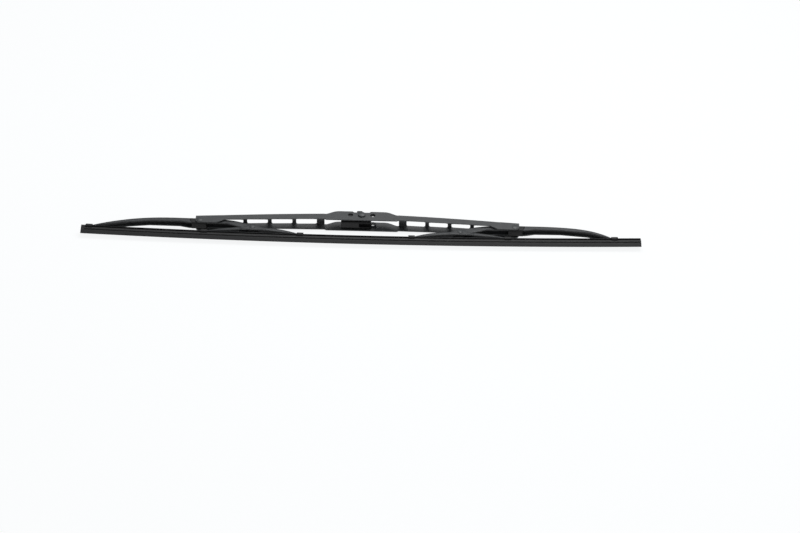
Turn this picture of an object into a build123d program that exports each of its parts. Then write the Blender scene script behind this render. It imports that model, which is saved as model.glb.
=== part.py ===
from build123d import *
import os
from math import cos, degrees, sin

os.makedirs("parts", exist_ok=True)

# A steel-framed windscreen wiper blade, lying on its side.
# The origin is the middle of the hub pin. X runs along the blade, Y from the wiping lip towards the bridge,
# and Z across it. A reach is a distance from the hub along one half of the blade, a rise is a height above
# the wiping lip, and a half width is measured across from the middle plane.

# Strip: the rubber is bowed, with its ends towards the bridge
strip_length = 559.0
bow_radius = 5550.0
pin_rise = 39.7
lip_half_width = 0.35
wedge_half_width = 2.4
wedge_rise = 3.0
wedge_edge = 0.3
neck_half_width = 0.7
neck_rise = 3.5
neck_height = 0.5
body_half_width = 3.1
head_half_width = 2.6
body_rise = 4.4
groove_rise = 7.5
groove_height = 0.95
groove_half_width = 1.2
head_height = 1.3
head_chamfer = 0.3
stop_length = 3.6
stop_flare_rise = 6.6

# Rails: spring steel, standing out of the grooves on both sides
rail_thickness = 0.8
rail_proud = 1.25
rail_stop_gap = 0.1
rail_end_gap = 0.5
strip_gap = 0.05

# Steel sheet and the fits between the pieces
bridge_sheet = 1.0
lever_sheet = 0.9
bend_radius = 1.5
running_gap = 0.05
side_gap = 0.05

# Claw shoes: an open C of plastic round the head of the strip, clipped under the tip of a lever
shoe_length = 6.5
shoe_wall = 0.6
shoe_roof_thickness = 0.5
shoe_edge_radius = 0.6
shoe_side_gap = 0.1
shoe_roof_gap = 0.1
finger_thickness = 0.9
clip_wall = 0.6
clip_lip = 0.45
tip_width = 5.2

# Bridge
hub_width = 13.8
hub_top = 6.1
hub_bottom = -8.4
hub_half_length = 37.4
crest_at_hub = 2.1
crest_at_middle = -0.5
crest_at_end = -4.8
wall_bottom_at_hub = -7.1
wall_bottom_at_flange = -10.9
flange_width = 11.0
flange_ramp_start = 25.0
flange_ramp_end = 17.0
flange_radius = 4.2
hump_foot = 35.3
hump_dip = 1.2
hump_foot_slope = 0.4
hump_plateau = 22.0
hub_notch_half_length = 7.6
hub_notch_depth = 1.6
hub_notch_slope = 1.6

# Vent windows in the back of the bridge, which run a little into its bends
window_count = 4
window_start = 45.2
window_bar = 3.9
window_tail = 22.1
window_lap = 0.3
window_corner = 1.6

# Lever pivots and claws along each half, counted inwards from the strip's end; the left half is longer
left_claw_setback = 7.5
right_claw_setback = 26.2
left_outer_arm = 110.2
right_outer_arm = 99.5
left_inner_arm = 53.3
right_inner_arm = 55.0
rocker_half_span = 48.0
yoke_pivot_y = -12.1
rocker_pivot_y = -21.5

# Yokes
yoke_width_at_pivot = 7.0
yoke_width_at_tip = 6.2
yoke_waist_width = 6.2
yoke_ear_radius = 4.2
yoke_crest_y = -7.9
yoke_shoulder_y = -7.9
left_haunch_y = -13.5
right_haunch_y = -12.0
yoke_belly_y = -14.9
yoke_arm_belly_y = -12.4
yoke_haunch_depth = 3.4
yoke_inner_knee = 28.0
yoke_inner_knee_y = -9.1
yoke_seat_length = 10.0
shoulder_share = 0.46
haunch_share = 0.73

# Rockers
rocker_width = 9.6
rocker_shoulder_width = 7.0
rocker_crest_y = -22.5
rocker_shoulder_y = -23.9
rocker_belly_y = -26.5
rocker_back_half_length = 13.0
rocker_shoulder = 30.0
rocker_slot_inner = 5.4
rocker_slot_outer = 14.0
rocker_ear_radius = 4.6
rocker_ear_base = 12.0

# Rivets, hub pin and plastic bushes
bridge_rivet_radius = 1.9
bridge_rivet_head_radius = 3.3
rocker_rivet_radius = 1.5
rocker_rivet_head_radius = 2.6
rivet_head_height = 0.6
rivet_head_rim = 0.25
hub_pin_radius = 2.4
hub_pin_head_radius = 3.8
hub_pin_head_height = 0.8
hub_pin_post = 1.4
pivot_bush_inner_length = 9.0
pivot_bush_outer_length = 10.0
pivot_bush_top_y = -8.9
pivot_bush_taper = 2.5
pivot_bush_edge_radius = 2.6
bush_strap = 0.95
rocker_bush_radius = 4.4

# Adapter and the side pin holes of the hub
side_pin_hole_reach = 11.2
side_pin_hole_radius = 2.65
side_pin_collar_wall = 0.85
side_pin_collar_depth = 2.2
side_pin_relief = 0.4
adapter_nose = 9.8
adapter_nose_radius = 2.5
adapter_shoulder = 6.0
adapter_tail = 20.5
adapter_bottom = -8.3
adapter_core_top = 1.0
adapter_side_gap = 0.3
adapter_edge_chamfer = 0.8
adapter_barrel_radius = 5.0
adapter_keel_half_width = 3.5
adapter_keel_depth = 2.5
adapter_cheek = 1.1
adapter_cheek_top = 4.2
adapter_cheek_front = 5.0
adapter_cheek_slope = 2.0
nose_slot_start = -2.5
nose_slot_half_width = 2.5
nose_slot_top = -4.0
catch_recess_middle = -13.0
catch_recess_length = 5.0
catch_recess_width = 4.0
catch_recess_depth = 1.2
tab_front = -0.5
tab_length = 5.6
tab_half_width = 3.5
tab_top = 11.9
tab_tip_radius = 1.2

# Sizes that follow from the ones above
head_rise = groove_rise + groove_height
strip_rise = head_rise + head_height
rail_rise = head_rise - strip_gap - rail_thickness
rail_half_width = body_half_width + rail_proud
finger_top = rail_rise - strip_gap
shoe_floor = finger_top - finger_thickness
shoulder_ceiling = rail_rise + rail_thickness + shoe_roof_gap
shoulder_roof = shoulder_ceiling + shoe_roof_thickness
shoe_ceiling = strip_rise + shoe_roof_gap
shoe_roof = shoe_ceiling + shoe_roof_thickness
finger_half_gap = body_half_width + shoe_side_gap
shoe_inner_half_width = rail_half_width + shoe_side_gap
shoe_half_width = shoe_inner_half_width + shoe_wall
crown_inner_half_width = head_half_width + shoe_side_gap
crown_half_width = crown_inner_half_width + shoe_wall
tip_bottom = shoe_roof + side_gap
tip_top = tip_bottom + lever_sheet
clip_ceiling = tip_top + side_gap
clip_top = clip_ceiling + clip_wall
clip_inner_half_width = tip_width / 2 + side_gap
bow_centre_y = bow_radius - pin_rise
hub_half_width = hub_width / 2
hub_inner_half_width = hub_half_width - bridge_sheet
flange_half_width = flange_width / 2
flange_inner_half_width = flange_half_width - bridge_sheet
pivot_bush_half_width = flange_inner_half_width - 2 * side_gap
rocker_half_width = rocker_width / 2
rocker_inner_half_width = rocker_half_width - lever_sheet
rocker_bush_half_width = rocker_inner_half_width - side_gap
left_claw_reach = strip_length / 2 - left_claw_setback
right_claw_reach = strip_length / 2 - right_claw_setback
left_pivot_reach = left_claw_reach - left_outer_arm
right_pivot_reach = right_claw_reach - right_outer_arm
left_rocker_reach = left_pivot_reach - left_inner_arm
right_rocker_reach = right_pivot_reach - right_inner_arm
far = 100.0

halves = (
    ("left", -1, left_pivot_reach, left_rocker_reach, left_claw_reach, left_haunch_y),
    ("right", 1, right_pivot_reach, right_rocker_reach, right_claw_reach, right_haunch_y),
)


def side_plane(hand, across=0.0):
    """Plane of the side view of one half: x is the reach and y the blade's Y."""
    return Plane(origin=(0, 0, across), x_dir=(hand, 0, 0), z_dir=(0, 0, hand))


def plan_plane(hand):
    """Plane of the view on the bridge's back of one half: x is the reach."""
    return Plane(origin=(0, 0, 0), x_dir=(hand, 0, 0), z_dir=(0, 1, 0))


def strip_point(reach, rise):
    """Reach and Y of a point that far along the bowed strip and that high above its lip."""
    angle = reach / bow_radius
    return ((bow_radius - rise) * sin(angle), bow_centre_y - (bow_radius - rise) * cos(angle))


def strip_plane(hand, reach):
    """Plane across the strip: x is across the blade, y the rise above the lip."""
    angle = reach / bow_radius
    x, y = strip_point(reach, 0)
    return Plane(origin=(hand * x, y, 0), x_dir=(0, 0, -hand), z_dir=(hand * cos(angle), sin(angle), 0))


def lever_core(hand, crest, base, plan):
    """The solid whose side view lies between crest and base, and whose plan has the given half widths.

    crest runs outwards along a smooth curve and base comes back inwards along straight lines. plan is a row
    of reach and half width pairs, outwards along a smooth curve, and stays as wide past its last one.
    """
    with BuildPart() as core:
        with BuildSketch(side_plane(hand)):
            with BuildLine():
                Spline(*crest)
                Polyline(crest[-1], *base, crest[0])
            make_face()
        extrude(amount=hub_width, both=True)
        with BuildSketch(plan_plane(hand)):
            with BuildLine():
                Line((plan[0][0], 0), plan[0])
                Spline(*plan)
                Polyline(plan[-1], (plan[-1][0] + shoe_length, plan[-1][1]), (plan[-1][0] + shoe_length, 0))
                mirror(about=Plane.XZ)
            make_face()
        extrude(amount=far, both=True, mode=Mode.INTERSECT)
    return core.part


def claw_shoe(hand, reach):
    """A shoe on the strip: fingers under the rails, a crown over the head, and a clip for the lever."""
    with BuildPart() as shoe:
        with BuildSketch(strip_plane(hand, reach)):
            with Locations((0, (shoe_floor + shoulder_roof) / 2)):
                Rectangle(2 * shoe_half_width, shoulder_roof - shoe_floor)
            with Locations((0, (shoulder_ceiling + shoe_roof) / 2)):
                Rectangle(2 * crown_half_width, shoe_roof - shoulder_ceiling)
            with Locations((0, (finger_top + shoulder_ceiling) / 2)):
                Rectangle(2 * shoe_inner_half_width, shoulder_ceiling - finger_top, mode=Mode.SUBTRACT)
            with Locations((0, (finger_top + shoe_ceiling) / 2)):
                Rectangle(2 * crown_inner_half_width, shoe_ceiling - finger_top, mode=Mode.SUBTRACT)
            with Locations((0, shoe_floor)):
                Rectangle(2 * finger_half_gap, 2 * finger_thickness, mode=Mode.SUBTRACT)
        extrude(amount=shoe_length / 2, both=True)
        sides = shoe.faces().filter_by(Axis.Z).sort_by(Axis.Z)
        along_strip = Axis((0, 0, 0), strip_plane(hand, reach).z_dir)
        outer_edges = sides[0].edges() + sides[-1].edges()
        fillet(outer_edges.filter_by(along_strip), radius=shoe_edge_radius)
        with BuildSketch(strip_plane(hand, reach)):
            with Locations((0, (shoe_roof + clip_top) / 2)):
                Rectangle(2 * (clip_inner_half_width + clip_wall), clip_top - shoe_roof)
            with Locations((0, (shoe_roof + clip_ceiling) / 2)):
                Rectangle(2 * clip_inner_half_width, clip_ceiling - shoe_roof, mode=Mode.SUBTRACT)
            with Locations((0, clip_top)):
                Rectangle(2 * (clip_inner_half_width - clip_lip), 2 * clip_wall, mode=Mode.SUBTRACT)
        extrude(amount=shoe_length / 2, both=True)
    return shoe.part


def rivet(reach, y, grip, shank_radius, head_radius, head_height, post):
    """A rivet across the blade with a domed head at both ends of its grip, the upper one raised on a post."""
    with BuildPart() as body:
        with BuildSketch(Plane(origin=(reach, y, 0), x_dir=(1, 0, 0), z_dir=(0, -1, 0))):
            with BuildLine():
                Line((0, -grip / 2 - head_height), (0, grip / 2 + post + head_height))
                TangentArc((0, grip / 2 + post + head_height), (head_radius, grip / 2 + post), tangent=(1, 0))
                Polyline(
                    (head_radius, grip / 2 + post),
                    (head_radius, grip / 2),
                    (shank_radius, grip / 2),
                    (shank_radius, -grip / 2),
                    (head_radius, -grip / 2),
                )
                TangentArc((0, -grip / 2 - head_height), (head_radius, -grip / 2), tangent=(1, 0))
            make_face()
        revolve(axis=Axis((reach, y, 0), (0, 0, 1)))
    return body.part


# Rubber: lip, neck, body, rail grooves and head, turned about the bow's centre, with a stop at the left end
bow_axis = Axis((0, bow_centre_y, 0), (0, 0, 1))
with BuildPart() as rubber:
    with BuildSketch(strip_plane(-1, strip_length / 2)):
        with BuildLine():
            Polyline(
                (0, 0),
                (lip_half_width, 0),
                (wedge_half_width, wedge_rise),
                (wedge_half_width, wedge_rise + wedge_edge),
                (neck_half_width, neck_rise),
                (neck_half_width, neck_rise + neck_height),
                (body_half_width, body_rise),
                (body_half_width, groove_rise),
                (groove_half_width, groove_rise),
                (groove_half_width, head_rise),
                (head_half_width, head_rise),
                (head_half_width, strip_rise - head_chamfer),
                (head_half_width - head_chamfer, strip_rise),
                (0, strip_rise),
            )
            mirror(about=Plane.YZ)
        make_face()
    revolve(axis=bow_axis, revolution_arc=degrees(strip_length / bow_radius))
    with BuildSketch(strip_plane(-1, strip_length / 2)):
        with BuildLine():
            Polyline(
                (0, 0),
                (lip_half_width, 0),
                (wedge_half_width, wedge_rise),
                (body_half_width, body_rise),
                (rail_half_width, stop_flare_rise),
                (rail_half_width, head_rise),
                (head_half_width, strip_rise),
                (0, strip_rise),
            )
            mirror(about=Plane.YZ)
        make_face()
    revolve(axis=bow_axis, revolution_arc=degrees(stop_length / bow_radius))
rubber.part.label = "rubber"
export_step(rubber.part, "parts/rubber.step")

# Rails: one in each groove, from the stop to the rubber's right end
for name, side in (("upper_rail", 1), ("lower_rail", -1)):
    rail_width = rail_half_width - groove_half_width - strip_gap
    rail_setback = stop_length + rail_stop_gap
    rail_length = strip_length - rail_setback - rail_end_gap
    with BuildPart() as rail:
        with BuildSketch(strip_plane(-1, strip_length / 2 - rail_setback)):
            with Locations((side * (rail_half_width - rail_width / 2), rail_rise + rail_thickness / 2)):
                Rectangle(rail_width, rail_thickness)
        revolve(axis=bow_axis, revolution_arc=degrees(rail_length / bow_radius))
    rail.part.label = name
    export_step(rail.part, f"parts/{name}.step")

# Bridge arms: a channel for each half, open towards the strip, narrowing to parallel flanges
arms = []
for name, hand, pivot_reach, rocker_reach, claw_reach, haunch_y in halves:
    end_reach = pivot_reach + flange_radius
    middle_reach = (hub_half_length + end_reach) / 2
    ramp_start = pivot_reach - flange_ramp_start
    flange_bottom = yoke_pivot_y - flange_radius
    with BuildPart() as arm:
        with BuildSketch(side_plane(hand)):
            with BuildLine():
                ThreePointArc(
                    (hub_half_length, crest_at_hub),
                    (middle_reach, crest_at_middle),
                    (end_reach, crest_at_end),
                )
                Line((end_reach, crest_at_end), (end_reach, yoke_pivot_y))
                TangentArc((end_reach, yoke_pivot_y), (pivot_reach, flange_bottom), tangent=(0, -1))
                Polyline(
                    (pivot_reach, flange_bottom),
                    (pivot_reach - flange_ramp_end, flange_bottom),
                    (ramp_start, wall_bottom_at_flange),
                    (hub_half_length, wall_bottom_at_hub),
                    (hub_half_length, crest_at_hub),
                )
            make_face()
        extrude(amount=hub_width, both=True)
        with BuildSketch(plan_plane(hand)):
            with BuildLine():
                Polyline(
                    (hub_half_length, 0),
                    (hub_half_length, hub_half_width),
                    (ramp_start, flange_half_width),
                    (end_reach, flange_half_width),
                    (end_reach, 0),
                )
                mirror(about=Plane.XZ)
            make_face()
        extrude(amount=far, both=True, mode=Mode.INTERSECT)
        back = arm.faces().filter_by(GeomType.CYLINDER).sort_by(SortBy.AREA)[-1]
        fillet(back.edges().filter_by(Axis.Z, reverse=True), radius=bend_radius)
    with BuildPart() as hollow:
        with BuildSketch(side_plane(hand)):
            with BuildLine():
                ThreePointArc(
                    (hub_half_length, crest_at_hub - bridge_sheet),
                    (middle_reach, crest_at_middle - bridge_sheet),
                    (end_reach, crest_at_end - bridge_sheet),
                )
                Polyline(
                    (end_reach, crest_at_end - bridge_sheet),
                    (end_reach, -far),
                    (hub_half_length, -far),
                    (hub_half_length, crest_at_hub - bridge_sheet),
                )
            make_face()
        extrude(amount=hub_width, both=True)
        with BuildSketch(plan_plane(hand)):
            with BuildLine():
                Polyline(
                    (hub_half_length, 0),
                    (hub_half_length, hub_inner_half_width),
                    (ramp_start, flange_inner_half_width),
                    (end_reach, flange_inner_half_width),
                    (end_reach, 0),
                )
                mirror(about=Plane.XZ)
            make_face()
        extrude(amount=2 * far, both=True, mode=Mode.INTERSECT)
        ceiling = hollow.faces().filter_by(GeomType.CYLINDER).sort_by(SortBy.AREA)[-1]
        fillet(ceiling.edges().filter_by(Axis.Z, reverse=True), radius=bend_radius - bridge_sheet)
    arms.append((arm.part, hollow.part))

# Bridge: the two arms, the hub cheeks between them, the windows in its back and its holes
with BuildPart() as bridge:
    for arm_solid, hollow_solid in arms:
        add(arm_solid)
        add(hollow_solid, mode=Mode.SUBTRACT)
    for across in (-hub_half_width, hub_inner_half_width):
        with BuildSketch(Plane.XY.offset(across)):
            with BuildLine():
                notch_bottom = hub_top - hub_notch_depth
                notch_top_reach = hub_notch_half_length + hub_notch_slope
                Polyline(
                    (0, notch_bottom),
                    (hub_notch_half_length, notch_bottom),
                    (notch_top_reach, hub_top),
                    (hump_plateau, hub_top),
                )
                foot_top = crest_at_hub - hump_dip
                Spline(
                    (hump_plateau, hub_top),
                    (hump_foot, foot_top),
                    tangents=((1, 0), (1, -hump_foot_slope)),
                )
                Polyline(
                    (hump_foot, foot_top),
                    (hub_half_length, foot_top),
                    (hub_half_length, wall_bottom_at_hub),
                    (hump_foot, hub_bottom),
                    (0, hub_bottom),
                )
                mirror(about=Plane.YZ)
            make_face()
            with Locations((-side_pin_hole_reach, 0), (side_pin_hole_reach, 0)):
                Circle(side_pin_hole_radius, mode=Mode.SUBTRACT)
            Circle(hub_pin_radius, mode=Mode.SUBTRACT)
        extrude(amount=bridge_sheet)
    for across in (-hub_inner_half_width, hub_inner_half_width - side_pin_collar_depth):
        with BuildSketch(Plane.XY.offset(across)):
            with Locations((side_pin_hole_reach, 0)):
                Circle(side_pin_hole_radius + side_pin_collar_wall)
                Circle(side_pin_hole_radius, mode=Mode.SUBTRACT)
        extrude(amount=side_pin_collar_depth)
    for name, hand, pivot_reach, rocker_reach, claw_reach, haunch_y in halves:
        taper_length = pivot_reach - flange_ramp_start - hub_half_length
        window_run = pivot_reach - window_tail - window_start
        window_length = (window_run + window_bar) / window_count - window_bar
        for index in range(window_count):
            middle = window_start + window_length / 2 + index * (window_length + window_bar)
            taper = (middle - hub_half_length) / taper_length
            half_width = hub_inner_half_width + (flange_inner_half_width - hub_inner_half_width) * taper
            with BuildSketch(plan_plane(hand)):
                with Locations((middle, 0)):
                    RectangleRounded(window_length, 2 * (half_width + window_lap), window_corner)
            extrude(amount=far, both=True, mode=Mode.SUBTRACT)
        with BuildSketch(plan_plane(hand)):
            with Locations((pivot_reach + far / 2, 0)):
                Rectangle(far, 2 * flange_inner_half_width)
        extrude(amount=far, both=True, mode=Mode.SUBTRACT)
        with BuildSketch(side_plane(hand)):
            with Locations((pivot_reach, yoke_pivot_y)):
                Circle(bridge_rivet_radius)
        extrude(amount=hub_width, both=True, mode=Mode.SUBTRACT)
bridge.part.label = "bridge"
export_step(bridge.part, "parts/bridge.step")

# Hub pin
hub_pin = rivet(0, 0, hub_width, hub_pin_radius, hub_pin_head_radius, hub_pin_head_height, hub_pin_post)
hub_pin.label = "hub_pin"
export_step(hub_pin, "parts/hub_pin.step")

for name, hand, pivot_reach, rocker_reach, claw_reach, haunch_y in halves:
    # Yoke: a channel lever, open towards the strip, with an eared inner end and a flat tip in its shoe
    arm_length = claw_reach - pivot_reach
    tip_start = claw_reach - shoe_length / 2
    tip_end = claw_reach + shoe_length / 2
    shoulder = pivot_reach + shoulder_share * arm_length
    haunch = pivot_reach + haunch_share * arm_length
    knee = pivot_reach - yoke_inner_knee
    yoke_crest = (
        (rocker_reach, rocker_pivot_y + yoke_ear_radius),
        (knee, yoke_inner_knee_y),
        (pivot_reach, yoke_crest_y),
        (shoulder, yoke_shoulder_y),
        (haunch, haunch_y),
        strip_point(tip_start, tip_top),
    )
    yoke_base = (
        strip_point(tip_end, tip_top),
        strip_point(tip_end, tip_bottom),
        strip_point(tip_start, tip_bottom),
        (haunch, haunch_y - yoke_haunch_depth),
        (shoulder, yoke_arm_belly_y),
        (pivot_reach + 2 * yoke_seat_length, yoke_arm_belly_y),
        (pivot_reach + yoke_seat_length, yoke_belly_y),
        (knee, yoke_belly_y),
        (rocker_reach, rocker_pivot_y - yoke_ear_radius),
    )
    yoke_plan = (
        (rocker_reach, yoke_width_at_tip / 2),
        (pivot_reach - yoke_seat_length, yoke_width_at_pivot / 2),
        (pivot_reach + yoke_seat_length, yoke_width_at_pivot / 2),
        (shoulder, yoke_waist_width / 2),
        (haunch, yoke_waist_width / 2),
        (tip_start, tip_width / 2),
    )
    yoke_skin = lever_core(hand, yoke_crest, yoke_base, yoke_plan)
    yoke_hollow = lever_core(
        hand,
        tuple((reach, y - lever_sheet) for reach, y in yoke_crest),
        ((yoke_crest[-1][0], -far), (yoke_crest[0][0], -far)),
        tuple((reach, half_width - lever_sheet) for reach, half_width in yoke_plan),
    )
    with BuildPart() as yoke:
        add(yoke_skin)
        add(yoke_hollow, mode=Mode.SUBTRACT)
        for across in (-yoke_width_at_tip / 2, yoke_width_at_tip / 2 - lever_sheet):
            with BuildSketch(Plane.XY.offset(across)):
                with Locations((hand * rocker_reach, rocker_pivot_y)):
                    Circle(yoke_ear_radius)
            extrude(amount=lever_sheet)
        with BuildSketch(side_plane(hand)):
            with Locations((pivot_reach, yoke_pivot_y)):
                Circle(bridge_rivet_radius + running_gap)
            with Locations((rocker_reach, rocker_pivot_y)):
                Circle(rocker_rivet_radius + running_gap)
        extrude(amount=hub_width, both=True, mode=Mode.SUBTRACT)
    yoke.part.label = f"{name}_yoke"
    export_step(yoke.part, f"parts/{name}_yoke.step")

    # Rocker: a short channel lever astride the yoke's inner end, with ears for its rivet and two tips
    inner_claw = rocker_reach - rocker_half_span
    outer_claw = rocker_reach + rocker_half_span
    inner_start = inner_claw + shoe_length / 2
    inner_end = inner_claw - shoe_length / 2
    outer_start = outer_claw - shoe_length / 2
    outer_end = outer_claw + shoe_length / 2
    rocker_crest = (
        strip_point(inner_start, tip_top),
        (rocker_reach - rocker_shoulder, rocker_shoulder_y),
        (rocker_reach - rocker_back_half_length, rocker_crest_y),
        (rocker_reach + rocker_back_half_length, rocker_crest_y),
        (rocker_reach + rocker_shoulder, rocker_shoulder_y),
        strip_point(outer_start, tip_top),
    )
    rocker_base = (
        strip_point(outer_end, tip_top),
        strip_point(outer_end, tip_bottom),
        strip_point(outer_start, tip_bottom),
        (rocker_reach + rocker_back_half_length, rocker_belly_y),
        (rocker_reach - rocker_back_half_length, rocker_belly_y),
        strip_point(inner_start, tip_bottom),
        strip_point(inner_end, tip_bottom),
        strip_point(inner_end, tip_top),
    )
    rocker_plan = (
        (inner_end, tip_width / 2),
        (inner_start, tip_width / 2),
        (rocker_reach - rocker_shoulder, rocker_shoulder_width / 2),
        (rocker_reach, rocker_half_width),
        (rocker_reach + rocker_shoulder, rocker_shoulder_width / 2),
        (outer_start, tip_width / 2),
    )
    rocker_skin = lever_core(hand, rocker_crest, rocker_base, rocker_plan)
    rocker_hollow = lever_core(
        hand,
        tuple((reach, y - lever_sheet) for reach, y in rocker_crest),
        ((rocker_crest[-1][0], -far), (rocker_crest[0][0], -far)),
        tuple((reach, half_width - lever_sheet) for reach, half_width in rocker_plan),
    )
    with BuildPart() as rocker:
        add(rocker_skin)
        add(rocker_hollow, mode=Mode.SUBTRACT)
        with BuildSketch(plan_plane(hand)):
            with Locations((rocker_reach + (rocker_slot_outer - rocker_slot_inner) / 2, 0)):
                Rectangle(rocker_slot_outer + rocker_slot_inner, 2 * rocker_inner_half_width)
        extrude(amount=far, both=True, mode=Mode.SUBTRACT)
        for across in (-rocker_half_width, rocker_inner_half_width):
            with BuildSketch(Plane.XY.offset(across)):
                with Locations((hand * rocker_reach, rocker_pivot_y)):
                    Circle(rocker_ear_radius)
                with Locations((hand * rocker_reach, (rocker_crest_y + rocker_belly_y) / 2)):
                    Rectangle(2 * rocker_ear_base, lever_sheet)
                make_hull()
            extrude(amount=lever_sheet)
        with BuildSketch(side_plane(hand)):
            with Locations((rocker_reach, rocker_pivot_y)):
                Circle(rocker_rivet_radius)
        extrude(amount=hub_width, both=True, mode=Mode.SUBTRACT)
    rocker.part.label = f"{name}_rocker"
    export_step(rocker.part, f"parts/{name}_rocker.step")

    # Claw shoes of this half
    shoe_reaches = (("yoke", claw_reach), ("rocker_inner", inner_claw), ("rocker_outer", outer_claw))
    for lever, reach in shoe_reaches:
        shoe = claw_shoe(hand, reach)
        shoe.label = f"{name}_{lever}_shoe"
        export_step(shoe, f"parts/{name}_{lever}_shoe.step")

    # Pivot bush: a plastic saddle under the yoke, with a cheek on each side of it inside the bridge's flanges
    with BuildPart() as pivot_bush:
        seat_y = yoke_belly_y - side_gap
        bush_inner = pivot_reach - pivot_bush_inner_length
        bush_outer = pivot_reach + pivot_bush_outer_length
        bush_bottom = seat_y - bush_strap
        with BuildSketch(side_plane(hand)):
            with BuildLine():
                Polyline(
                    (bush_inner, pivot_bush_top_y),
                    (bush_outer, pivot_bush_top_y),
                    (bush_outer - pivot_bush_taper, bush_bottom),
                    (bush_inner + pivot_bush_taper, bush_bottom),
                    close=True,
                )
            make_face()
        extrude(amount=pivot_bush_half_width, both=True)
        strap_face = pivot_bush.faces().filter_by(Axis.Y).sort_by(Axis.Y)[0]
        fillet(strap_face.edges().filter_by(Axis.X), radius=pivot_bush_edge_radius)
        with BuildSketch(side_plane(hand)):
            with Locations((pivot_reach, seat_y + far / 2)):
                Rectangle(far, far)
        extrude(amount=yoke_width_at_pivot / 2 + 2 * side_gap, both=True, mode=Mode.SUBTRACT)
        with BuildSketch(side_plane(hand)):
            with Locations((pivot_reach, yoke_pivot_y)):
                Circle(bridge_rivet_radius + running_gap)
        extrude(amount=hub_width, both=True, mode=Mode.SUBTRACT)
    pivot_bush.part.label = f"{name}_pivot_bush"
    export_step(pivot_bush.part, f"parts/{name}_pivot_bush.step")

    # Rocker bush: a smaller saddle round the yoke's inner end, inside the rocker's ears
    with BuildPart() as rocker_bush:
        seat_y = rocker_pivot_y - yoke_ear_radius - side_gap
        with BuildSketch(side_plane(hand)):
            with Locations((rocker_reach, rocker_pivot_y)):
                Circle(rocker_bush_radius)
            with Locations((rocker_reach, seat_y - bush_strap / 2)):
                Rectangle(2 * yoke_ear_radius, bush_strap)
            make_hull()
        extrude(amount=rocker_bush_half_width, both=True)
        with BuildSketch(side_plane(hand)):
            with Locations((rocker_reach, rocker_pivot_y)):
                Circle(yoke_ear_radius + side_gap)
            with BuildLine():
                Polyline(
                    (rocker_reach, seat_y),
                    (knee, yoke_belly_y - side_gap),
                    (knee, 0),
                    (rocker_reach - yoke_inner_knee, 0),
                    (rocker_reach - yoke_inner_knee, rocker_pivot_y),
                    (rocker_reach, rocker_pivot_y),
                    close=True,
                )
            make_face()
        extrude(amount=yoke_width_at_tip / 2 + 2 * side_gap, both=True, mode=Mode.SUBTRACT)
        with BuildSketch(side_plane(hand)):
            with Locations((rocker_reach, rocker_pivot_y)):
                Circle(rocker_rivet_radius + running_gap)
        extrude(amount=hub_width, both=True, mode=Mode.SUBTRACT)
    rocker_bush.part.label = f"{name}_rocker_bush"
    export_step(rocker_bush.part, f"parts/{name}_rocker_bush.step")

    # Rivets of this half
    bridge_rivet = rivet(
        hand * pivot_reach,
        yoke_pivot_y,
        flange_width,
        bridge_rivet_radius,
        bridge_rivet_head_radius,
        rivet_head_height,
        rivet_head_rim,
    )
    bridge_rivet.label = f"{name}_bridge_rivet"
    export_step(bridge_rivet, f"parts/{name}_bridge_rivet.step")
    rocker_rivet = rivet(
        hand * rocker_reach,
        rocker_pivot_y,
        rocker_width,
        rocker_rivet_radius,
        rocker_rivet_head_radius,
        rivet_head_height,
        rivet_head_rim,
    )
    rocker_rivet.label = f"{name}_rocker_rivet"
    export_step(rocker_rivet, f"parts/{name}_rocker_rivet.step")

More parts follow.
